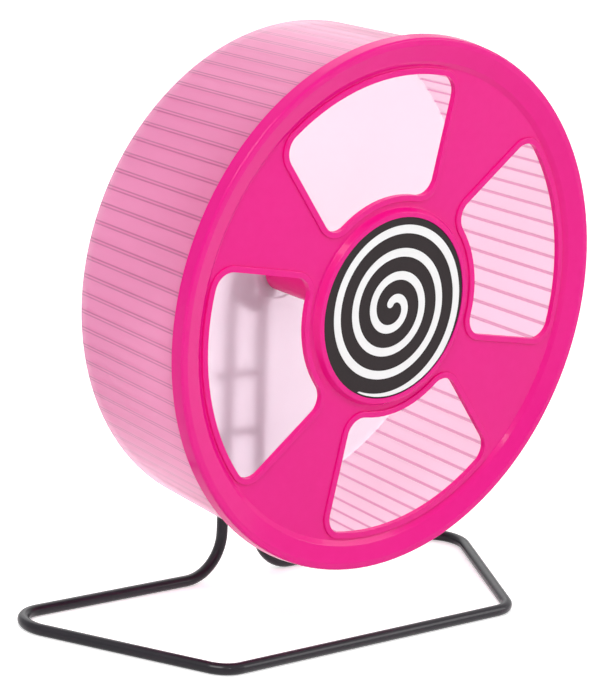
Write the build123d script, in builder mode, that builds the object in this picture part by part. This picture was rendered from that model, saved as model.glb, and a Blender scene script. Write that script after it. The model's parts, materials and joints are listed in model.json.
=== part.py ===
"""Rodent exercise wheel: a drum on two ball bearings, carried from behind by a bent wire stand.

Millimetres, +Z up, the wheel's axis along Y, its open front towards -Y.
The origin is on the floor, midway between the front of the floor loop and the tail of the stand.
A depth is counted along the axis from the front plane of the rim, and row_y turns it into Y.
"""

import os
from math import atan2, cos, degrees, hypot, pi, radians, sin, tan

from build123d import *

os.makedirs("parts", exist_ok=True)

# Wire stand
wire_diameter = 4.4
foot_bend_radius = 17.5
corner_bend_radius = 11.5
axle_height = 127.7
foot_half_spacing = 9.1
top_half_spacing = 7.8
loop_back_half_width = 118.0
loop_front_half_width = 72.0
loop_back_depth = 71.9
loop_front_depth = -7.8
upright_lean = 6.15
straighten_below_axle = 26.0
straighten_radius = 60.0
upright_above_axle = 17.0
cross_bar_diameter = 3.0
cross_bar_overhang = 0.6
cross_bar_drops = {"cross_bar_upper": 47.5, "cross_bar_lower": 70.5}
weld_gap = 0.02

# Axle and what clamps it
axle_diameter = 6.0
axle_fit = 0.05
plate_half_width = 8.2
plate_half_height = 20.7
plate_thickness = 2.5
plate_hole_radius = 2.0
plate_hole_reach = 13.4
head_across_flats = 10.0
head_thickness = 4.0
nut_across_flats = 10.0
nut_thickness = 5.0
washer_radius = 6.0
washer_thickness = 1.2
axle_tip_past_nut = 1.0
spacer_radius = 4.0

# Ball bearings
bearing_outer_radius = 6.5
bearing_width = 5.0
bearing_seat_fit = 0.02
inner_ring_radius = 4.05
outer_ring_inner_radius = 5.6
ball_radius = 1.0
ball_clearance = 0.06
ball_count = 8
cage_half_thickness = 0.35
cage_width = 2.6

# Wheel
rim_radius = 100.0
skirt_growth = 0.6
skirt_depth = 5.0
rim_edge_round = 1.0
face_edge_round = 0.6
rim_lip_width = 2.6
rim_band_width = 6.2
rim_step_width = 1.8
rim_band_depth = 1.9
rim_seat_depth = 2.4
face_depth = 3.2
face_thickness = 1.5
spigot_thickness = 2.2
spigot_length = 3.2
drum_inset_in_rim = 2.4
drum_narrowing = 2.8
drum_depth = 65.4
drum_wall = 1.9
drum_back_wall = 2.0
drum_edge_round = 1.5
drum_fit = 0.1
drum_back_hole_fit = 0.1
drum_boss_radius = 12.5
drum_boss_height = 2.0
rung_count = 90
rung_phase = 1.0
rung_groove_side = 1.15

# Windows of the front cover
window_count = 4
window_phase = 15.2
window_inner_radius = 41.9
window_outer_radius = 86.4
window_side_angle = 24.0
window_side_offset = 7.7
window_corner_round = 7.0
window_lip_width = 2.3
window_lip_height = 0.7
window_lip_round = 0.35
flat_slack = 0.01

# Hub
hub_ring_outer_radius = 37.4
hub_ring_top_radius = 36.2
hub_ring_depth = 0.9
hub_disc_radius = 34.1
hub_disc_depth = 1.2
hub_disc_thickness = 1.6
hub_disc_fit = 0.15
hub_floor_thickness = 2.4
hub_floor_hole_radius = 7.6
sleeve_radius = 9.0
sleeve_flange_radius = 20.0
sleeve_flange_thickness = 2.4
sleeve_bore_radius = 5.7
sleeve_tail_past_drum = 4.0
front_bearing_inset = 8.0
rear_bearing_inset = 0.6
screw_count = 4
screw_circle_radius = 14.6
screw_radius = 1.25
screw_head_radius = 2.4
screw_head_thickness = 0.9
screw_fit = 0.06
screw_end_gap = 0.4

# White spiral on the hub disc
spiral_pitch = 8.7
spiral_line_width = 3.2
spiral_start_radius = 2.4
spiral_end_radius = 34.4
spiral_end_angle = 248.5
spiral_shift_x = -0.6
spiral_shift_z = 0.1
spiral_edge_margin = 0.5
spiral_groove_depth = 0.25
spiral_stands_proud = 0.05
spiral_fit = 0.04
spiral_points_per_turn = 24

# Worked out from the values above
wire_radius = wire_diameter / 2
axle_radius = axle_diameter / 2
bore_radius = axle_radius + axle_fit
lean_slope = tan(radians(upright_lean))
run_drop = axle_height - wire_radius
upright_top_depth = loop_back_depth + (run_drop - straighten_below_axle) * lean_slope
plate_back_depth = upright_top_depth - wire_radius - weld_gap
plate_front_depth = plate_back_depth - plate_thickness
head_back_depth = plate_back_depth + head_thickness
plate_nut_back_depth = plate_front_depth - washer_thickness
plate_nut_front_depth = plate_nut_back_depth - nut_thickness

rim_lip_inner_radius = rim_radius - rim_lip_width
rim_band_inner_radius = rim_lip_inner_radius - rim_band_width
face_outer_radius = rim_band_inner_radius - rim_step_width
drum_front_radius = rim_radius - drum_inset_in_rim
drum_back_radius = drum_front_radius - drum_narrowing

hub_floor_front_depth = hub_disc_depth + hub_disc_thickness
hub_floor_back_depth = hub_floor_front_depth + hub_floor_thickness
sleeve_flange_back_depth = hub_floor_back_depth + sleeve_flange_thickness
sleeve_tail_depth = drum_depth + sleeve_tail_past_drum
front_bearing_depth = hub_floor_back_depth + front_bearing_inset
rear_bearing_depth = sleeve_tail_depth - rear_bearing_inset - bearing_width
front_nut_back_depth = front_bearing_depth - washer_thickness
front_nut_front_depth = front_nut_back_depth - nut_thickness
axle_tip_depth = front_nut_front_depth - axle_tip_past_nut

cross_bar_reach = wire_radius + cross_bar_diameter / 2 + weld_gap
cross_bar_tails = [
    loop_back_depth
    + (run_drop - drop) * lean_slope
    + cross_bar_reach * cos(radians(upright_lean))
    + cross_bar_diameter / 2
    for drop in cross_bar_drops.values()
]
tail_depth = max([head_back_depth, upright_top_depth + wire_radius] + cross_bar_tails)
nose_depth = min(loop_front_depth - wire_radius, 0.0)
middle_depth = (tail_depth + nose_depth) / 2


def row_y(depth):
    """Y of a depth behind the rim's front plane."""
    return depth - middle_depth


def axial_plane(depth):
    """Plane square to the axle at a depth: local x is +X, local y is +Z, normal towards the front."""
    return Plane(origin=(0, row_y(depth), axle_height), x_dir=(1, 0, 0), z_dir=(0, -1, 0))


def profile_plane():
    """Half-plane through the axle for turned shapes: local x is the radius, local y is the depth."""
    return Plane(origin=(0, row_y(0), axle_height), x_dir=(1, 0, 0), z_dir=(0, 0, 1))


wheel_axis = Axis((0, 0, axle_height), (0, 1, 0))


def finish(piece, node_name):
    """Label a piece and write its file."""
    piece.part.label = node_name
    export_step(piece.part, "parts/" + node_name + ".step")


def ring(node_name, inner_radius, outer_radius, front_depth, back_depth):
    """A plain tube or washer on the axle's line."""
    with BuildPart() as tube:
        with BuildSketch(axial_plane(back_depth)):
            Circle(outer_radius)
            Circle(inner_radius, mode=Mode.SUBTRACT)
        extrude(amount=back_depth - front_depth)
    finish(tube, node_name)


# The stand wire runs down the left upright, round the floor loop and up the right upright
floor_z = wire_radius
straighten_z = axle_height - straighten_below_axle
upright_top_z = axle_height + upright_above_axle
left_half = [
    (-top_half_spacing, row_y(upright_top_depth), upright_top_z),
    (-top_half_spacing, row_y(upright_top_depth), straighten_z),
    (-foot_half_spacing, row_y(loop_back_depth), floor_z),
    (-loop_back_half_width, row_y(loop_back_depth), floor_z),
    (-loop_front_half_width, row_y(loop_front_depth), floor_z),
]
right_half = [(-x, y, z) for x, y, z in reversed(left_half)]
wire_points = left_half + right_half
foot_radii = [straighten_radius, foot_bend_radius]
bend_radii = foot_radii + [corner_bend_radius] * 4 + foot_radii[::-1]
with BuildPart() as stand_wire:
    with BuildLine() as wire_path:
        FilletPolyline(*wire_points, radius=bend_radii)
    with BuildSketch(Plane(origin=wire_points[0], z_dir=(0, 0, -1))):
        Circle(wire_radius)
    sweep(path=wire_path.wires()[0])
finish(stand_wire, "stand_wire")

# Cross bars lie behind the leaning uprights
lean_back = Vector(0, cos(radians(upright_lean)), -sin(radians(upright_lean)))
for bar_name, drop in cross_bar_drops.items():
    share = (drop - straighten_below_axle) / (run_drop - straighten_below_axle)
    half_spacing = top_half_spacing + share * (foot_half_spacing - top_half_spacing)
    half_length = half_spacing + wire_radius + cross_bar_overhang
    wire_depth = loop_back_depth + (run_drop - drop) * lean_slope
    bar_middle = Vector(0, row_y(wire_depth), axle_height - drop) + lean_back * cross_bar_reach
    with BuildPart() as cross_bar:
        with BuildSketch(Plane(origin=bar_middle, z_dir=(1, 0, 0))):
            Circle(cross_bar_diameter / 2)
        extrude(amount=half_length, both=True)
    finish(cross_bar, bar_name)

# The axle plate stands upright on the front of the two wires
with BuildPart() as axle_plate:
    with BuildSketch(axial_plane(plate_back_depth)):
        SlotOverall(2 * plate_half_height, 2 * plate_half_width, rotation=90)
        Circle(bore_radius, mode=Mode.SUBTRACT)
        with Locations((0, -plate_hole_reach), (0, plate_hole_reach)):
            Circle(plate_hole_radius, mode=Mode.SUBTRACT)
    extrude(amount=plate_thickness)
finish(axle_plate, "axle_plate")

# The axle is a long bolt whose head lies behind the plate, flats towards the wires
with BuildPart() as axle_bolt:
    with BuildSketch(axial_plane(head_back_depth)):
        RegularPolygon(head_across_flats / 2, 6, major_radius=False, rotation=30)
    extrude(amount=head_thickness - weld_gap)
    with BuildSketch(axial_plane(head_back_depth)):
        Circle(axle_radius)
    extrude(amount=head_back_depth - axle_tip_depth)
    chamfer(axle_bolt.edges().filter_by(GeomType.CIRCLE).sort_by(Axis.Y)[0], axle_radius / 5)
finish(axle_bolt, "axle_bolt")

for nut_name, nut_front, nut_back in (
    ("plate_nut", plate_nut_front_depth, plate_nut_back_depth),
    ("front_nut", front_nut_front_depth, front_nut_back_depth),
):
    with BuildPart() as nut:
        with BuildSketch(axial_plane(nut_back)):
            RegularPolygon(nut_across_flats / 2, 6, major_radius=False)
            Circle(bore_radius, mode=Mode.SUBTRACT)
        extrude(amount=nut_back - nut_front)
    finish(nut, nut_name)

ring("plate_washer", bore_radius, washer_radius, plate_nut_back_depth, plate_front_depth)
ring("front_washer", bore_radius, spacer_radius, front_nut_back_depth, front_bearing_depth)
ring("rear_spacer", bore_radius, spacer_radius, rear_bearing_depth + bearing_width, plate_nut_front_depth)
ring("inner_spacer", bore_radius, spacer_radius, front_bearing_depth + bearing_width, rear_bearing_depth)

# Two deep-groove ball bearings
ball_circle_radius = (inner_ring_radius + outer_ring_inner_radius) / 2
groove_radius = ball_radius + ball_clearance
bearing_depths = {"front": front_bearing_depth, "rear": rear_bearing_depth}
ring_walls = {
    "inner": (bore_radius, inner_ring_radius),
    "outer": (outer_ring_inner_radius, bearing_outer_radius),
}
for place, near_depth in bearing_depths.items():
    middle = near_depth + bearing_width / 2
    for side, (small_radius, large_radius) in ring_walls.items():
        with BuildPart() as race:
            with BuildSketch(profile_plane()):
                with Locations(((small_radius + large_radius) / 2, middle)):
                    Rectangle(large_radius - small_radius, bearing_width)
                with Locations((ball_circle_radius, middle)):
                    Circle(groove_radius, mode=Mode.SUBTRACT)
            revolve(axis=wheel_axis)
        finish(race, "bearing_" + place + "_" + side)
    with BuildPart(axial_plane(middle)) as balls:
        with PolarLocations(ball_circle_radius, ball_count):
            Sphere(ball_radius)
    finish(balls, "bearing_" + place + "_balls")
    with BuildPart(axial_plane(middle)) as cage:
        with BuildSketch(axial_plane(middle + cage_width / 2)):
            Circle(ball_circle_radius + cage_half_thickness)
            Circle(ball_circle_radius - cage_half_thickness, mode=Mode.SUBTRACT)
        extrude(amount=cage_width)
        with PolarLocations(ball_circle_radius, ball_count):
            Cylinder(groove_radius, cage_width, rotation=(0, 90, 0), mode=Mode.SUBTRACT)
    finish(cage, "bearing_" + place + "_cage")

# Running drum: tapered wall, flat back with a low boss round the sleeve
drum_run = drum_depth - rim_seat_depth
taper = degrees(atan2(drum_front_radius - drum_back_radius, drum_run))
inner_front_radius = drum_front_radius - drum_wall
inner_back_radius = drum_back_radius - drum_wall
back_wall_front_depth = drum_depth - drum_back_wall
sleeve_hole_radius = sleeve_radius + drum_back_hole_fit
groove_length = hypot(drum_run, drum_front_radius - drum_back_radius) - drum_back_wall
with BuildPart() as running_drum:
    with BuildSketch(profile_plane()):
        with BuildLine():
            Polyline(
                (sleeve_hole_radius, back_wall_front_depth),
                (inner_back_radius, back_wall_front_depth),
                (inner_front_radius, rim_seat_depth),
                (drum_front_radius, rim_seat_depth),
                (drum_back_radius, drum_depth),
                (drum_boss_radius, drum_depth),
                (drum_boss_radius, drum_depth + drum_boss_height),
                (sleeve_hole_radius, drum_depth + drum_boss_height),
                close=True,
            )
        make_face()
    revolve(axis=wheel_axis)
    back_edges = running_drum.edges().filter_by(GeomType.CIRCLE).group_by(Axis.Y)[-2]
    fillet(back_edges.sort_by(SortBy.RADIUS)[-1], drum_edge_round)
    middle_radius = (inner_front_radius + inner_back_radius) / 2
    with Locations(axial_plane((rim_seat_depth + back_wall_front_depth) / 2)):
        with PolarLocations(middle_radius, rung_count, start_angle=rung_phase):
            with Locations(Rotation(0, taper, 0) * Rotation(0, 0, 45)):
                Box(rung_groove_side, rung_groove_side, groove_length, mode=Mode.SUBTRACT)
finish(running_drum, "running_drum")

# Window outline, middle line along local x, as a sector whose sides do not meet on the axle
side_slope = tan(radians(window_side_angle))
side_start = window_side_offset / cos(radians(window_side_angle))
wedge_near = window_inner_radius * cos(radians(2 * window_side_angle))
wedge_far = window_outer_radius + window_corner_round
with BuildSketch() as window_outline:
    Circle(window_outer_radius)
    Circle(window_inner_radius, mode=Mode.SUBTRACT)
    with BuildLine():
        Polyline(
            (wedge_near, side_start + wedge_near * side_slope),
            (wedge_far, side_start + wedge_far * side_slope),
            (wedge_far, -side_start - wedge_far * side_slope),
            (wedge_near, -side_start - wedge_near * side_slope),
            close=True,
        )
    make_face(mode=Mode.INTERSECT)
    fillet(window_outline.vertices(), window_corner_round)
with BuildSketch() as window_lip_outline:
    add(window_outline.sketch)
    offset(amount=window_lip_width, kind=Kind.ARC)

# Front cover: skirted rim, dished face, four windows with raised lips and a ring round the hub disc
skirt_inner_radius = drum_front_radius + drum_fit
spigot_radius = inner_front_radius - drum_fit
spigot_back_depth = face_depth + face_thickness + spigot_length
spigot_taper = (spigot_back_depth - rim_seat_depth) * tan(radians(taper))
face_back_depth = face_depth + face_thickness
disc_pocket_radius = hub_disc_radius + hub_disc_fit
with BuildPart() as front_cover:
    with BuildSketch(profile_plane()):
        with BuildLine():
            FilletPolyline(
                (rim_radius + skirt_growth, skirt_depth),
                (rim_radius, 0),
                (rim_lip_inner_radius, 0),
                (rim_band_inner_radius, rim_band_depth),
                (face_outer_radius, face_depth),
                (hub_ring_outer_radius, face_depth),
                (hub_ring_top_radius, hub_ring_depth),
                (disc_pocket_radius, hub_ring_depth),
                radius=[rim_edge_round] * 3 + [face_edge_round] * 3,
            )
            Polyline(
                (disc_pocket_radius, hub_ring_depth),
                (disc_pocket_radius, hub_floor_front_depth),
                (hub_floor_hole_radius, hub_floor_front_depth),
                (hub_floor_hole_radius, hub_floor_back_depth),
                (disc_pocket_radius + face_thickness, hub_floor_back_depth),
                (disc_pocket_radius + 2 * face_thickness, face_back_depth),
                (spigot_radius - 2 * spigot_thickness, face_back_depth),
                (spigot_radius - spigot_thickness, spigot_back_depth),
                (spigot_radius - spigot_taper, spigot_back_depth),
                (spigot_radius, rim_seat_depth),
                (skirt_inner_radius, rim_seat_depth),
                (skirt_inner_radius, skirt_depth),
                (rim_radius + skirt_growth, skirt_depth),
            )
        make_face()
    revolve(axis=wheel_axis)
    with BuildSketch(axial_plane(face_depth + face_thickness / 2)):
        with PolarLocations(0, window_count, start_angle=window_phase):
            add(window_lip_outline.sketch)
    extrude(amount=window_lip_height + face_thickness / 2)
    lip_top_y = row_y(face_depth - window_lip_height)
    lip_edges = front_cover.edges().filter_by_position(Axis.Y, lip_top_y - flat_slack, lip_top_y + flat_slack)
    fillet(lip_edges.filter_by(lambda edge: edge.length > window_lip_round), window_lip_round)
    with BuildSketch(axial_plane(face_back_depth + spigot_length)):
        with PolarLocations(0, window_count, start_angle=window_phase):
            add(window_outline.sketch)
    extrude(amount=2 * face_back_depth, mode=Mode.SUBTRACT)
    with BuildSketch(axial_plane(hub_floor_back_depth)):
        with PolarLocations(screw_circle_radius, screw_count):
            Circle(screw_radius + screw_fit)
    extrude(amount=hub_floor_thickness, mode=Mode.SUBTRACT)
    with BuildSketch(axial_plane(hub_floor_front_depth + screw_head_thickness + screw_fit)):
        with PolarLocations(screw_circle_radius, screw_count):
            Circle(screw_head_radius + screw_fit)
    extrude(amount=screw_head_thickness + screw_fit, mode=Mode.SUBTRACT)
finish(front_cover, "front_cover")

# Hub sleeve: flange behind the cover, seats for the two outer rings
seat_radius = bearing_outer_radius + bearing_seat_fit
with BuildPart() as hub_sleeve:
    with BuildSketch(profile_plane()):
        with BuildLine():
            Polyline(
                (seat_radius, hub_floor_back_depth + weld_gap),
                (sleeve_flange_radius, hub_floor_back_depth + weld_gap),
                (sleeve_flange_radius, sleeve_flange_back_depth),
                (sleeve_radius, sleeve_flange_back_depth),
                (sleeve_radius, sleeve_tail_depth),
                (seat_radius, sleeve_tail_depth),
                (seat_radius, rear_bearing_depth),
                (sleeve_bore_radius, rear_bearing_depth),
                (sleeve_bore_radius, front_bearing_depth + bearing_width),
                (seat_radius, front_bearing_depth + bearing_width),
                close=True,
            )
        make_face()
    revolve(axis=wheel_axis)
    with BuildSketch(axial_plane(sleeve_flange_back_depth)):
        with PolarLocations(screw_circle_radius, screw_count):
            Circle(screw_radius + screw_fit)
    extrude(amount=sleeve_flange_thickness, mode=Mode.SUBTRACT)
finish(hub_sleeve, "hub_sleeve")

screw_foot_depth = sleeve_flange_back_depth - screw_end_gap
with BuildPart() as sleeve_screws:
    with BuildSketch(axial_plane(hub_floor_front_depth + screw_head_thickness)):
        with PolarLocations(screw_circle_radius, screw_count):
            Circle(screw_head_radius)
    extrude(amount=screw_head_thickness)
    with BuildSketch(axial_plane(screw_foot_depth)):
        with PolarLocations(screw_circle_radius, screw_count):
            Circle(screw_radius)
    extrude(amount=screw_foot_depth - hub_floor_front_depth)
finish(sleeve_screws, "sleeve_screws")


def spiral_line(side_reach):
    """Points beside the spiral's middle line, side_reach outwards, from its inner to its outer end."""
    growth = spiral_pitch / (2 * pi)
    turns = (spiral_end_radius - spiral_start_radius) / spiral_pitch
    steps = round(turns * spiral_points_per_turn)
    points = []
    for step in range(steps + 1):
        radius = spiral_start_radius + (spiral_end_radius - spiral_start_radius) * step / steps
        angle = radians(spiral_end_angle) + (spiral_end_radius - radius) / growth
        length = hypot(radius, growth)
        out_x = (radius * cos(angle) - growth * sin(angle)) / length
        out_z = (radius * sin(angle) + growth * cos(angle)) / length
        points.append(
            (
                spiral_shift_x + radius * cos(angle) + side_reach * out_x,
                spiral_shift_z + radius * sin(angle) + side_reach * out_z,
            )
        )
    return points


def spiral_band(grown_by):
    """The white line's outline, grown all round by a clearance."""
    half_width = spiral_line_width / 2 + grown_by
    outer_points = spiral_line(half_width)
    inner_points = spiral_line(-half_width)
    ends = spiral_line(0)
    with BuildSketch() as band:
        with BuildLine():
            Spline(*outer_points)
            Line(outer_points[-1], inner_points[-1])
            Spline(*inner_points)
            Line(inner_points[0], outer_points[0])
        make_face()
        with Locations(ends[0], ends[-1]):
            Circle(half_width)
        Circle(hub_disc_radius - spiral_edge_margin + grown_by, mode=Mode.INTERSECT)
    return band.sketch


spiral_outline = spiral_band(0)
spiral_groove_outline = spiral_band(spiral_fit)
with BuildPart() as hub_disc:
    with BuildSketch(axial_plane(hub_floor_front_depth - weld_gap)):
        Circle(hub_disc_radius)
    extrude(amount=hub_disc_thickness - weld_gap)
    with BuildSketch(axial_plane(hub_disc_depth + spiral_groove_depth)):
        add(spiral_groove_outline)
    extrude(amount=spiral_groove_depth, mode=Mode.SUBTRACT)
finish(hub_disc, "hub_disc")

with BuildPart() as spiral_inlay:
    with BuildSketch(axial_plane(hub_disc_depth + spiral_groove_depth)):
        add(spiral_outline)
    extrude(amount=spiral_groove_depth + spiral_stands_proud)
finish(spiral_inlay, "spiral_inlay")
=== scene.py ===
import json
import logging
import math
from dataclasses import dataclass, field
from enum import Enum

import bpy
from mathutils import Matrix, Vector


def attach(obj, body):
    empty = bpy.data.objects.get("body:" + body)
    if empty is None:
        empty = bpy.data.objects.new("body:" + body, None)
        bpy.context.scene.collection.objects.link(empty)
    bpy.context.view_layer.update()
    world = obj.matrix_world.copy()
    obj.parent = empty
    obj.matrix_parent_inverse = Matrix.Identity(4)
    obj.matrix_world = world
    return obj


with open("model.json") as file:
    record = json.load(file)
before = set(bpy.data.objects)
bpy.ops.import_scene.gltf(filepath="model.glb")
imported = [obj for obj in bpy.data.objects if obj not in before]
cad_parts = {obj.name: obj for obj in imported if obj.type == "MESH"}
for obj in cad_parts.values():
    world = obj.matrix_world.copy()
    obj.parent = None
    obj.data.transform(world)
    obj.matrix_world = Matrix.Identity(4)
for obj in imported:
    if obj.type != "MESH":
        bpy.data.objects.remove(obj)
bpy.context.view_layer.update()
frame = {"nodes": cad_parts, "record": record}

MM = 0.001
LOG = logging.getLogger("wheel_scene")

Colour = tuple[float, float, float]
Place = tuple[float, float, float]
Links = dict[str, str]
WHITE: Colour = (1.0, 1.0, 1.0)


class Slot(Enum):
    """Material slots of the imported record."""

    WIRE = "wire_coating"
    COVER = "cover_plastic"
    DRUM = "drum_plastic"
    DISC = "disc_plastic"
    SPIRAL = "spiral_print"
    FASTENER = "fastener_steel"
    BEARING = "bearing_steel"
    CAGE = "cage_brass"


@dataclass(frozen=True)
class WheelSizes:
    """Places that the looks need, in metres, in the part's own frame."""

    axle_z: float = 127.7 * MM
    rim_front_y: float = -37.7516 * MM
    drum_outer_front: float = 97.6 * MM
    drum_outer_back: float = 94.8 * MM
    drum_wall: float = 1.9 * MM
    drum_depth: float = 65.4 * MM
    drum_back_wall: float = 2.0 * MM
    rib_count: int = 90
    rib_phase_degrees: float = 1.0
    rib_pitch: float = 6.7 * MM
    surface_slack: float = 0.1 * MM

    def y(self, depth_mm: float) -> float:
        """Y in metres of a depth in millimetres behind the rim's front plane."""
        return self.rim_front_y + depth_mm * MM


SIZES = WheelSizes()


@dataclass
class NodeBuilder:
    """A short way to add and wire nodes in one tree, laid out in rows."""

    tree: bpy.types.NodeTree
    step: int = 0
    nodes_in_row: int = 12
    column_width: int = 180
    row_height: int = 220

    def add(self, kind: str, **settings: object) -> bpy.types.Node:
        """Adds a node.

        Args:
            kind: Blender's node type name.
            settings: attributes to set on the node.

        Returns:
            The new node.
        """
        node = self.tree.nodes.new(kind)
        row, column = divmod(self.step, self.nodes_in_row)
        node.location = (self.column_width * column, -self.row_height * row)
        self.step += 1
        for key, value in settings.items():
            setattr(node, key, value)
        return node

    def put(self, target: bpy.types.NodeSocket, source: object) -> None:
        """Feeds a socket from another socket, or sets its value.

        Args:
            target: the input to fill.
            source: a socket, or a plain value.
        """
        if isinstance(source, bpy.types.NodeSocket):
            self.tree.links.new(source, target)
        else:
            target.default_value = source

    def math(self, operation: str, *values: object, clamp: bool = False) -> bpy.types.NodeSocket:
        """One arithmetic step.

        Args:
            operation: Blender's name of the operation.
            values: sockets or numbers, in order.
            clamp: whether the result is held between 0 and 1.

        Returns:
            The result's socket.
        """
        node = self.add("ShaderNodeMath", operation=operation, use_clamp=clamp)
        for index, value in enumerate(values):
            self.put(node.inputs[index], value)
        return node.outputs[0]

    def ramp(
        self,
        value: object,
        low: object,
        high: object,
        to_low: object = 0.0,
        to_high: object = 1.0,
    ) -> bpy.types.NodeSocket:
        """A smooth step of a value between two limits, mapped to an output range.

        Args:
            value: the value to map.
            low: the value where the step begins.
            high: the value where the step ends.
            to_low: the result below the step.
            to_high: the result above the step.

        Returns:
            The result's socket.
        """
        node = self.add("ShaderNodeMapRange", interpolation_type="SMOOTHSTEP")
        names = ("Value", "From Min", "From Max", "To Min", "To Max")
        for name, source in zip(names, (value, low, high, to_low, to_high)):
            self.put(node.inputs[name], source)
        return node.outputs["Result"]

    def looked_at(self) -> bpy.types.NodeSocket:
        """Whether a ray comes from the camera, a mirroring surface or a clear one.

        Returns:
            A socket that is 1 for such a ray and 0 for any other.
        """
        rays = self.add("ShaderNodeLightPath")
        camera, clear, mirrored = (
            rays.outputs[name] for name in ("Is Camera Ray", "Is Transmission Ray", "Is Glossy Ray")
        )
        return self.math("MAXIMUM", self.math("MAXIMUM", camera, clear), mirrored)

    def mix(self, factor: object, first: object, second: object) -> bpy.types.NodeSocket:
        """A blend of two colours.

        Args:
            factor: the share of the second one.
            first: a socket or a colour.
            second: a socket or a colour.

        Returns:
            The blended colour's socket.
        """
        node = self.add("ShaderNodeMix", data_type="RGBA")
        self.put(node.inputs["Factor"], factor)
        for socket, source in ((node.inputs[6], first), (node.inputs[7], second)):
            self.put(socket, source if isinstance(source, bpy.types.NodeSocket) else (*source, 1.0))
        return node.outputs[2]

    def blend(
        self,
        factor: object,
        first: bpy.types.NodeSocket,
        second: bpy.types.NodeSocket,
    ) -> bpy.types.NodeSocket:
        """A blend of two shaders.

        Args:
            factor: the share of the second one.
            first: the first shader's socket.
            second: the second shader's socket.

        Returns:
            The blended shader's socket.
        """
        node = self.add("ShaderNodeMixShader")
        self.put(node.inputs[0], factor)
        self.put(node.inputs[1], first)
        self.put(node.inputs[2], second)
        return node.outputs[0]


@dataclass(frozen=True)
class GroupDraft:
    """A shader group being built, with its two end nodes."""

    build: NodeBuilder
    source: bpy.types.Node
    result: bpy.types.Node

    @classmethod
    def start(cls, name: str, inputs: Links, outputs: Links) -> "GroupDraft":
        """Starts a shader group.

        Args:
            name: the group's name.
            inputs: each input's socket type.
            outputs: each output's socket type.

        Returns:
            The draft.
        """
        tree = bpy.data.node_groups.new(name, "ShaderNodeTree")
        for in_out, sockets in (("INPUT", inputs), ("OUTPUT", outputs)):
            for label, kind in sockets.items():
                tree.interface.new_socket(name=label, in_out=in_out, socket_type=kind)
        build = NodeBuilder(tree)
        return cls(build, build.add("NodeGroupInput"), build.add("NodeGroupOutput"))


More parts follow.
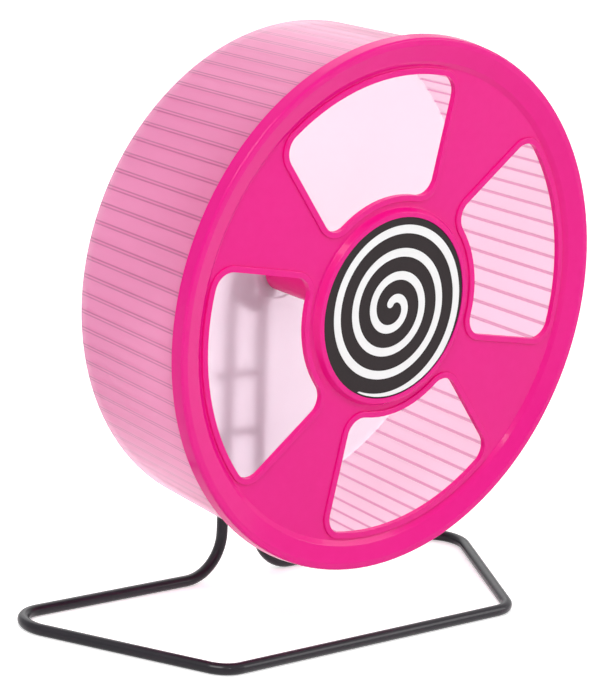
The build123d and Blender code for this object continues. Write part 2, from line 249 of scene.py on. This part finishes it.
@dataclass
class SharedGroups:
    """Node groups that several materials use. They give masks and normals, never a shader."""

    fine_share: float = 0.45
    broad_share: float = 0.55
    broad_scale_share: float = 0.06
    fine_detail: float = 4.0
    grain_height: float = 0.05 * MM
    groove_half_width: float = 0.50 * MM
    groove_fade_end: float = 0.85 * MM
    line_from_groove: float = 0.55 * MM
    line_half_width: float = 0.12 * MM
    line_fade_end: float = 0.42 * MM
    wall_share_outside: float = 1 / 3
    grain: bpy.types.NodeTree = field(init=False)
    ribs: bpy.types.NodeTree = field(init=False)

    def __post_init__(self) -> None:
        """Builds both groups once."""
        self.grain = self._grain_group()
        self.ribs = self._rib_group()

    def _grain_group(self) -> bpy.types.NodeTree:
        """Fine unevenness of a moulded, coated or machined surface.

        Returns:
            The group, with a mask and a normal as outputs.
        """
        draft = GroupDraft.start(
            "surface_grain",
            {"Vector": "NodeSocketVector", "Scale": "NodeSocketFloat", "Depth": "NodeSocketFloat"},
            {"Mask": "NodeSocketFloat", "Normal": "NodeSocketVector"},
        )
        build, source, result = draft.build, draft.source, draft.result
        fine = build.add("ShaderNodeTexNoise")
        build.put(fine.inputs["Vector"], source.outputs["Vector"])
        build.put(fine.inputs["Scale"], source.outputs["Scale"])
        fine.inputs["Detail"].default_value = self.fine_detail
        broad = build.add("ShaderNodeTexNoise")
        build.put(broad.inputs["Vector"], source.outputs["Vector"])
        broad_scale = build.math("MULTIPLY", source.outputs["Scale"], self.broad_scale_share)
        build.put(broad.inputs["Scale"], broad_scale)
        fine_part = build.math("MULTIPLY", fine.outputs["Fac"], self.fine_share)
        broad_part = build.math("MULTIPLY", broad.outputs["Fac"], self.broad_share)
        mask = build.math("ADD", fine_part, broad_part)
        bump = build.add("ShaderNodeBump")
        bump.inputs["Distance"].default_value = self.grain_height
        build.put(bump.inputs["Strength"], source.outputs["Depth"])
        build.put(bump.inputs["Height"], fine.outputs["Fac"])
        build.put(result.inputs["Mask"], mask)
        build.put(result.inputs["Normal"], bump.outputs["Normal"])
        return build.tree

    def _rib_group(self) -> bpy.types.NodeTree:
        """Where a point of the drum lies: wall or back, outside or inside, and how near a groove.

        Returns:
            The group, with four masks as outputs.
        """
        masks = ("Back", "Outside", "Groove", "Edge")
        draft = GroupDraft.start(
            "drum_places",
            {"Vector": "NodeSocketVector"},
            {mask: "NodeSocketFloat" for mask in masks},
        )
        build, source, result = draft.build, draft.source, draft.result
        split = build.add("ShaderNodeSeparateXYZ")
        build.put(split.inputs[0], source.outputs["Vector"])
        x, y, z = split.outputs
        height = build.math("SUBTRACT", z, SIZES.axle_z)
        squares = [build.math("MULTIPLY", side, side) for side in (x, height)]
        radius = build.math("SQRT", build.math("ADD", *squares))
        depth = build.math("SUBTRACT", y, SIZES.rim_front_y)
        fall = (SIZES.drum_outer_back - SIZES.drum_outer_front) / SIZES.drum_depth
        wall_split_front = SIZES.drum_outer_front - SIZES.drum_wall * self.wall_share_outside
        wall_split = build.math("ADD", build.math("MULTIPLY", depth, fall), wall_split_front)
        outside = build.math("GREATER_THAN", radius, wall_split)
        back_starts = SIZES.drum_depth - SIZES.drum_back_wall - SIZES.surface_slack
        back_reaches = SIZES.drum_outer_back - SIZES.drum_wall - SIZES.surface_slack
        near_back = build.math("GREATER_THAN", depth, back_starts)
        off_wall = build.math("LESS_THAN", radius, back_reaches)
        build.put(result.inputs["Back"], build.math("MULTIPLY", near_back, off_wall))
        build.put(result.inputs["Outside"], outside)
        angle = build.math("ARCTAN2", height, x)
        steps = build.math("MULTIPLY", angle, SIZES.rib_count / math.tau)
        phase = SIZES.rib_phase_degrees * SIZES.rib_count / 360
        shifted = build.math("SUBTRACT", steps, phase - 0.5)
        away = build.math("ABSOLUTE", build.math("SUBTRACT", build.math("FRACT", shifted), 0.5))
        distance = build.math("MULTIPLY", away, SIZES.rib_pitch)
        # Groove and Edge place painted shade lines: darkening at each groove and just beside it,
        # standing in for the grooves' shade seen through the wall.
        groove = build.ramp(distance, self.groove_half_width, self.groove_fade_end, 1.0, 0.0)
        build.put(result.inputs["Groove"], groove)
        from_line = build.math("ABSOLUTE", build.math("SUBTRACT", distance, self.line_from_groove))
        line = build.ramp(from_line, self.line_half_width, self.line_fade_end, 1.0, 0.0)
        build.put(result.inputs["Edge"], line)
        return build.tree


@dataclass(frozen=True)
class SolidFinish:
    """An opaque finish with a little grain."""

    slot: Slot
    base: Colour
    shade: Colour
    roughness: float
    metallic: float = 0.0
    coat: float = 0.0
    coat_roughness: float = 0.05
    specular: float = 0.5
    grain_scale: float = 500.0
    grain_depth: float = 0.1
    shade_from: float = 0.3
    shade_to: float = 0.7
    uneven_from: float = 0.25
    uneven_to: float = 0.75
    smoothest: float = 0.85
    roughest: float = 1.15

    def build(self, groups: SharedGroups) -> bpy.types.Material:
        """Builds the material.

        Args:
            groups: the shared node groups.

        Returns:
            The material, named after its slot.
        """
        material = bpy.data.materials.new(self.slot.value + "_look")
        material.use_nodes = True
        material.node_tree.nodes.clear()
        build = NodeBuilder(material.node_tree)
        place = build.add("ShaderNodeTexCoord")
        grain = build.add("ShaderNodeGroup", node_tree=groups.grain)
        build.put(grain.inputs["Vector"], place.outputs["Object"])
        grain.inputs["Scale"].default_value = self.grain_scale
        grain.inputs["Depth"].default_value = self.grain_depth
        shader = build.add("ShaderNodeBsdfPrincipled")
        mask = grain.outputs["Mask"]
        wear = build.ramp(mask, self.shade_from, self.shade_to)
        build.put(shader.inputs["Base Color"], build.mix(wear, self.base, self.shade))
        least, most = self.roughness * self.smoothest, self.roughness * self.roughest
        uneven = build.ramp(mask, self.uneven_from, self.uneven_to, least, most)
        build.put(shader.inputs["Roughness"], uneven)
        build.put(shader.inputs["Normal"], grain.outputs["Normal"])
        shader.inputs["Metallic"].default_value = self.metallic
        shader.inputs["Coat Weight"].default_value = self.coat
        shader.inputs["Coat Roughness"].default_value = self.coat_roughness
        shader.inputs["Specular IOR Level"].default_value = self.specular
        output = build.add("ShaderNodeOutputMaterial")
        build.put(output.inputs["Surface"], shader.outputs[0])
        return material


@dataclass(frozen=True)
class DrumFinish:
    """The milky pink plastic of the drum, ribbed on its wall and frosted on its back. Darker lines at
    and beside the grooves are painted shade, and the inner face is painted paler than the outer face
    to stand in for light through the wall.
    """

    # Partly painted light: the plastic is pink, but the outer face is painted a deeper pink than the
    # inner face, standing in for the shaded inside seen through it.
    outer: Colour = (0.79, 0.15, 0.40)
    # Painted shade: this darker colour lines the outer face beside each groove.
    outer_groove_shade: Colour = (0.42, 0.03, 0.19)
    # Painted light: the inner face is painted paler, standing in for light shining through the wall.
    inner: Colour = (0.93, 0.73, 0.86)
    # Painted shade: this darker colour lines the inner face at each groove.
    inner_groove_shade: Colour = (0.62, 0.14, 0.38)
    back: Colour = (0.940, 0.885, 0.935)
    glow: Colour = (0.97, 0.82, 0.91)
    roughness: float = 0.24
    back_roughness: float = 0.27
    ior: float = 1.45
    outer_clear: float = 0.22
    inner_clear: float = 0.42
    leaving_clear: float = 0.94
    back_clear: float = 0.60
    light_through: float = 0.86
    skin_roughness: float = 0.30
    skin_strength: float = 0.26
    skin_colour: Colour = (1.0, 0.97, 0.985)
    skin_facing_from: float = 0.55
    facing_blend: float = 0.5
    grain_scale: float = 350.0
    grain_depth: float = 0.08
    uneven_from: float = 0.25
    uneven_to: float = 0.75
    smoothest: float = 0.9
    roughest: float = 1.1
    glow_share: float = 0.5
    glowing_share: float = 0.5
    clear_whiteness: float = 0.6
    shade_whiteness: float = 0.7

    def build(self, groups: SharedGroups) -> bpy.types.Material:
        """Builds the material.

        Args:
            groups: the shared node groups.

        Returns:
            The material.
        """
        material = bpy.data.materials.new("drum_plastic_look")
        material.use_nodes = True
        material.node_tree.nodes.clear()
        build = NodeBuilder(material.node_tree)
        place = build.add("ShaderNodeTexCoord")
        grain = build.add("ShaderNodeGroup", node_tree=groups.grain)
        build.put(grain.inputs["Vector"], place.outputs["Object"])
        grain.inputs["Scale"].default_value = self.grain_scale
        grain.inputs["Depth"].default_value = self.grain_depth
        spots = build.add("ShaderNodeGroup", node_tree=groups.ribs)
        build.put(spots.inputs["Vector"], place.outputs["Object"])
        back, outside, groove, edge = spots.outputs
        # Painted groove shade: darker lines are mixed in at and beside each groove.
        outer = build.mix(edge, self.outer, self.outer_groove_shade)
        inner = build.mix(groove, self.inner, self.inner_groove_shade)
        # Lit and shaded copies of one plastic: the pale inner face and the deeper outer face differ
        # only as painted light.
        wall = build.mix(outside, inner, outer)
        colour = build.mix(back, wall, self.back)
        shader = build.add("ShaderNodeBsdfPrincipled")
        build.put(shader.inputs["Base Color"], colour)
        mask = grain.outputs["Mask"]
        least, most = self.roughness * self.smoothest, self.roughness * self.roughest
        uneven = build.ramp(mask, self.uneven_from, self.uneven_to, least, most)
        build.put(shader.inputs["Roughness"], uneven)
        build.put(shader.inputs["Normal"], grain.outputs["Normal"])
        shader.inputs["IOR"].default_value = self.ior
        through = build.add("ShaderNodeBsdfTranslucent")
        build.put(through.inputs["Color"], build.mix(self.glow_share, colour, self.glow))
        body = build.blend(self.glowing_share, shader.outputs[0], through.outputs[0])
        skin = build.add("ShaderNodeBsdfGlossy")
        skin.inputs["Roughness"].default_value = self.skin_roughness
        skin.inputs["Color"].default_value = (*self.skin_colour, 1.0)
        angle = build.add("ShaderNodeLayerWeight")
        angle.inputs["Blend"].default_value = self.facing_blend
        facing = angle.outputs["Facing"]
        sheen = build.ramp(facing, self.skin_facing_from, 1.0, 0.0, self.skin_strength)
        milky = build.blend(sheen, body, skin.outputs[0])
        clear = build.add("ShaderNodeBsdfTransparent")
        build.put(clear.inputs["Color"], build.mix(self.clear_whiteness, colour, WHITE))
        frost = build.add("ShaderNodeBsdfRefraction", distribution="GGX")
        build.put(frost.inputs["Color"], (*self.back, 1.0))
        frost.inputs["Roughness"].default_value = self.back_roughness
        frost.inputs["IOR"].default_value = self.ior
        seen_through = build.blend(back, clear.outputs[0], frost.outputs[0])
        side = build.add("ShaderNodeNewGeometry")
        entering = build.ramp(outside, 0.0, 1.0, self.inner_clear, self.outer_clear)
        on_way_out = build.math("MULTIPLY", side.outputs["Backfacing"], self.leaving_clear)
        leaving = build.math("MAXIMUM", entering, on_way_out)
        amount = build.ramp(back, 0.0, 1.0, leaving, self.back_clear)
        surface = build.blend(amount, milky, seen_through)
        rays = build.add("ShaderNodeLightPath")
        shade = build.add("ShaderNodeBsdfTransparent")
        build.put(shade.inputs["Color"], build.mix(self.shade_whiteness, colour, WHITE))
        passing = build.math("MULTIPLY", rays.outputs["Is Shadow Ray"], self.light_through)
        whole = build.blend(passing, surface, shade.outputs[0])
        output = build.add("ShaderNodeOutputMaterial")
        build.put(output.inputs["Surface"], whole)
        return material


FINISHES: tuple[SolidFinish, ...] = (
    SolidFinish(
        Slot.WIRE,
        base=(0.006, 0.004, 0.008),
        shade=(0.009, 0.006, 0.012),
        roughness=0.40,
        coat=0.32,
        coat_roughness=0.10,
        specular=0.18,
        grain_scale=700.0,
        grain_depth=0.12,
    ),
    SolidFinish(
        Slot.COVER,
        base=(0.80, 0.004, 0.238),
        shade=(0.82, 0.007, 0.254),
        roughness=0.22,
        coat=0.20,
        coat_roughness=0.06,
        specular=0.08,
        grain_scale=260.0,
        grain_depth=0.015,
    ),
    SolidFinish(
        Slot.DISC,
        base=(0.026, 0.020, 0.021),
        shade=(0.034, 0.026, 0.028),
        roughness=0.60,
        specular=0.12,
        grain_scale=900.0,
        grain_depth=0.15,
    ),
    SolidFinish(
        Slot.SPIRAL,
        base=(0.86, 0.86, 0.86),
        shade=(0.89, 0.89, 0.89),
        roughness=0.50,
        specular=0.35,
        grain_scale=900.0,
        grain_depth=0.10,
    ),
    SolidFinish(
        Slot.FASTENER,
        base=(0.52, 0.52, 0.54),
        shade=(0.60, 0.60, 0.61),
        roughness=0.34,
        metallic=1.0,
        grain_scale=900.0,
        grain_depth=0.20,
    ),
    SolidFinish(
        Slot.BEARING,
        base=(0.62, 0.62, 0.63),
        shade=(0.68, 0.68, 0.69),
        roughness=0.16,
        metallic=1.0,
        grain_scale=1200.0,
        grain_depth=0.05,
    ),
    SolidFinish(
        Slot.CAGE,
        base=(0.62, 0.44, 0.18),
        shade=(0.68, 0.50, 0.22),
        roughness=0.30,
        metallic=1.0,
        grain_scale=1200.0,
        grain_depth=0.10,
    ),
)


@dataclass
class Wardrobe:
    """All materials, one for each slot of the record."""

    groups: SharedGroups
    looks: dict[str, bpy.types.Material] = field(default_factory=dict)

    def build(self) -> None:
        """Builds every finish."""
        for finish in FINISHES:
            self.looks[finish.slot.value] = finish.build(self.groups)
        self.looks[Slot.DRUM.value] = DrumFinish().build(self.groups)

    def dress(self) -> None:
        """Gives each CAD node the material of its slot in the record."""
        for row in frame["record"]["subparts"]:
            piece = frame["nodes"][row["node"]]
            look = self.looks[row["material_slot"]]
            for place in piece.material_slots:
                place.material = look
            LOG.info("dressed %s as %s", row["node"], row["material_slot"])


@dataclass
class WeldBeads:
    """Small weld beads where the cross bars and the axle plate meet the two uprights."""

    look: bpy.types.Material
    bead_radius: float = 1.0 * MM
    seed: int = 7
    axle_drop_of_bars: tuple[float, float] = (47.5 * MM, 70.5 * MM)
    upright_top_y: float = SIZES.y(82.62)
    upright_foot_y: float = SIZES.y(71.9)
    foot_z: float = 2.2 * MM
    kink_z: float = 101.7 * MM
    top_half_spacing: float = 7.8 * MM
    foot_half_spacing: float = 9.1 * MM
    wire_radius: float = 2.2 * MM
    plate_edge: float = 8.2 * MM
    plate_seam_heights_mm: tuple[float, ...] = (-13.0, -11.2, -9.4, 9.4, 11.2, 13.0)
    bar_seam_offset: float = 1.4 * MM
    bar_seam_shifts: tuple[float, ...] = (-0.7 * MM, 0.0, 0.7 * MM)
    bar_seam_reach: float = 0.8
    plate_seam_reach: float = 0.92
    smallest_bead: float = 0.8
    largest_bead: float = 1.1
    bead_subdivisions: int = 3

    def _points(self) -> list[Vector]:
        """Works out where the beads sit.

        Returns:
            Their centres.
        """
        points = []
        for drop in self.axle_drop_of_bars:
            z = SIZES.axle_z - drop
            share = (self.kink_z - z) / (self.kink_z - self.foot_z)
            x = self.top_half_spacing + share * (self.foot_half_spacing - self.top_half_spacing)
            wire_y = self.upright_top_y + share * (self.upright_foot_y - self.upright_top_y)
            y = wire_y + self.bar_seam_reach * self.wire_radius
            for side in (-1, 1):
                for offset in (-self.bar_seam_offset, self.bar_seam_offset):
                    for shift in self.bar_seam_shifts:
                        points.append(Vector((side * (x + shift), y, z + offset)))
        seam_y = self.upright_top_y - self.plate_seam_reach * self.wire_radius
        for side in (-1, 1):
            for height in self.plate_seam_heights_mm:
                points.append(Vector((side * self.plate_edge, seam_y, SIZES.axle_z + height * MM)))
        return points

    def _tree(self) -> bpy.types.NodeTree:
        """Makes the node tree that puts a bead at each point.

        Returns:
            The tree, with its radius and seed as named inputs.
        """
        tree = bpy.data.node_groups.new("bead_rows", "GeometryNodeTree")
        sockets = tree.interface
        sockets.new_socket(name="Geometry", in_out="INPUT", socket_type="NodeSocketGeometry")
        radius = sockets.new_socket(name="Bead Radius", in_out="INPUT", socket_type="NodeSocketFloat")
        radius.default_value = self.bead_radius
        seed = sockets.new_socket(name="Seed", in_out="INPUT", socket_type="NodeSocketInt")
        seed.default_value = self.seed
        sockets.new_socket(name="Geometry", in_out="OUTPUT", socket_type="NodeSocketGeometry")
        build = NodeBuilder(tree)
        source, result = build.add("NodeGroupInput"), build.add("NodeGroupOutput")
        ball = build.add("GeometryNodeMeshIcoSphere")
        ball.inputs["Subdivisions"].default_value = self.bead_subdivisions
        build.put(ball.inputs["Radius"], source.outputs["Bead Radius"])
        size = build.add("FunctionNodeRandomValue", data_type="FLOAT")
        size.inputs[2].default_value = self.smallest_bead
        size.inputs[3].default_value = self.largest_bead
        build.put(size.inputs["Seed"], source.outputs["Seed"])
        spread = build.add("GeometryNodeInstanceOnPoints")
        build.put(spread.inputs["Points"], source.outputs["Geometry"])
        build.put(spread.inputs["Instance"], ball.outputs["Mesh"])
        build.put(spread.inputs["Scale"], size.outputs[1])
        real = build.add("GeometryNodeRealizeInstances")
        build.put(real.inputs[0], spread.outputs[0])
        smooth = build.add("GeometryNodeSetShadeSmooth")
        build.put(smooth.inputs[0], real.outputs[0])
        dressed = build.add("GeometryNodeSetMaterial")
        dressed.inputs["Material"].default_value = self.look
        build.put(dressed.inputs["Geometry"], smooth.outputs[0])
        build.put(result.inputs[0], dressed.outputs[0])
        return tree

    def build(self) -> bpy.types.Object:
        """Builds the beads as one mesh that stays with the stand.

        Returns:
            The new object.
        """
        seeds = bpy.data.meshes.new("bead_places")
        seeds.from_pydata([tuple(point) for point in self._points()], [], [])
        carrier = bpy.data.objects.new("bead_carrier", seeds)
        bpy.context.scene.collection.objects.link(carrier)
        carrier.modifiers.new("rows", "NODES").node_group = self._tree()
        graph = bpy.context.evaluated_depsgraph_get()
        mesh = bpy.data.meshes.new_from_object(carrier.evaluated_get(graph))
        bpy.data.objects.remove(carrier)
        beads = bpy.data.objects.new("weld_beads", mesh)
        bpy.context.scene.collection.objects.link(beads)
        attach(beads, "stand")
        LOG.info("built weld_beads with %d faces", len(mesh.polygons))
        return beads


@dataclass(frozen=True)
class SoftLight:
    """A square soft light that faces the wheel, in metres and watts."""

    name: str
    place: Place
    size: float
    power: float


@dataclass
class Studio:
    """The plain floor, the lights and the camera."""

    floor_size: float = 6.0
    floor_colour: Colour = (0.90, 0.90, 0.90)
    floor_roughness: float = 0.9
    floor_specular: float = 0.1
    floor_lift: float = 0.50
    bright_side: Place = (0.645, 0.705, 0.295)
    bright_from: float = -0.4
    dimmest: float = 0.22
    brightest: float = 0.95
    seen_white: float = 1.05
    lights: tuple[SoftLight, ...] = (
        SoftLight("key", (-0.9, -0.7, 1.4), 0.9, 17.0),
        SoftLight("fill", (1.2, -1.0, 0.7), 0.8, 7.0),
        SoftLight("rear", (0.5, 1.2, 1.0), 1.2, 5.0),
        SoftLight("strip", (-0.25, -1.5, 0.9), 0.22, 1.6),
    )
    camera_place: Place = (-0.71778, -0.769764, 0.385985)
    camera_azimuth: float = -42.62
    camera_elevation: float = 15.074
    camera_roll: float = 5.943
    focal_pixels: float = 2900.0
    frame_pixels: int = 693
    sensor: float = 36.0
    far_clip: float = 20.0

    def build(self) -> None:
        """Builds everything around the wheel."""
        self._floor()
        self._world()
        for light in self.lights:
            self._hang(light)
        self._camera()

    def _floor(self) -> None:
        """Lays a plain pale floor under the stand."""
        bpy.ops.mesh.primitive_plane_add(size=self.floor_size, location=(0, 0, 0))
        floor = bpy.context.object
        floor.name = "studio_floor"
        material = bpy.data.materials.new("floor_look")
        material.use_nodes = True
        material.node_tree.nodes.clear()
        build = NodeBuilder(material.node_tree)
        shader = build.add("ShaderNodeBsdfPrincipled")
        shader.inputs["Base Color"].default_value = (*self.floor_colour, 1.0)
        shader.inputs["Roughness"].default_value = self.floor_roughness
        shader.inputs["Specular IOR Level"].default_value = self.floor_specular
        shader.inputs["Emission Color"].default_value = (*WHITE, 1.0)
        lift = build.math("MULTIPLY", build.looked_at(), self.floor_lift)
        build.put(shader.inputs["Emission Strength"], lift)
        output = build.add("ShaderNodeOutputMaterial")
        build.put(output.inputs["Surface"], shader.outputs[0])
        floor.data.materials.append(material)

    def _world(self) -> None:
        """Sets a surround that is seen and mirrored as white, and lights the wheel more softly."""
        world = bpy.data.worlds.new("studio_world")
        bpy.context.scene.world = world
        world.use_nodes = True
        world.node_tree.nodes.clear()
        build = NodeBuilder(world.node_tree)
        seen = build.looked_at()
        place = build.add("ShaderNodeTexCoord")
        along = build.add("ShaderNodeVectorMath", operation="DOT_PRODUCT")
        build.put(along.inputs[0], place.outputs["Generated"])
        along.inputs[1].default_value = self.bright_side
        side = along.outputs["Value"]
        around = build.ramp(side, self.bright_from, 1.0, self.dimmest, self.brightest)
        ground = build.add("ShaderNodeBackground")
        ground.inputs["Color"].default_value = (*WHITE, 1.0)
        build.put(ground.inputs["Strength"], build.ramp(seen, 0.0, 1.0, around, self.seen_white))
        output = build.add("ShaderNodeOutputWorld")
        build.put(output.inputs["Surface"], ground.outputs[0])

    def _hang(self, light: SoftLight) -> None:
        """Adds one light.

        Args:
            light: what to add.
        """
        data = bpy.data.lights.new(light.name, "AREA")
        data.size = light.size
        data.energy = light.power
        lamp = bpy.data.objects.new(light.name, data)
        lamp.location = light.place
        aim = Vector((0, 0, SIZES.axle_z)) - Vector(light.place)
        lamp.rotation_euler = aim.to_track_quat("-Z", "Y").to_euler()
        bpy.context.scene.collection.objects.link(lamp)

    def _camera(self) -> None:
        """Places the camera at the photograph's angle."""
        azimuth = math.radians(self.camera_azimuth)
        elevation = math.radians(self.camera_elevation)
        roll = math.radians(self.camera_roll)
        level = math.cos(elevation)
        back = Vector((math.sin(azimuth) * level, -math.cos(azimuth) * level, math.sin(elevation)))
        right = (-back).cross(Vector((0, 0, 1))).normalized()
        up = right.cross(-back)
        tilted_right = right * math.cos(roll) + up * math.sin(roll)
        tilted_up = up * math.cos(roll) - right * math.sin(roll)
        data = bpy.data.cameras.new("camera")
        data.sensor_width = self.sensor
        data.lens = self.focal_pixels * self.sensor / self.frame_pixels
        data.clip_end = self.far_clip
        camera = bpy.data.objects.new("camera", data)
        turn = Matrix((tilted_right, tilted_up, back)).transposed().to_4x4()
        camera.matrix_world = Matrix.Translation(self.camera_place) @ turn
        bpy.context.scene.collection.objects.link(camera)
        bpy.context.scene.camera = camera


def main() -> None:
    """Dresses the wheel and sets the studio."""
    logging.basicConfig(level=logging.INFO, format="%(message)s")
    bpy.context.scene.view_settings.view_transform = "Standard"
    wardrobe = Wardrobe(SharedGroups())
    wardrobe.build()
    wardrobe.dress()
    WeldBeads(wardrobe.looks[Slot.WIRE.value]).build()
    Studio().build()


if __name__ == "__main__":
    main()
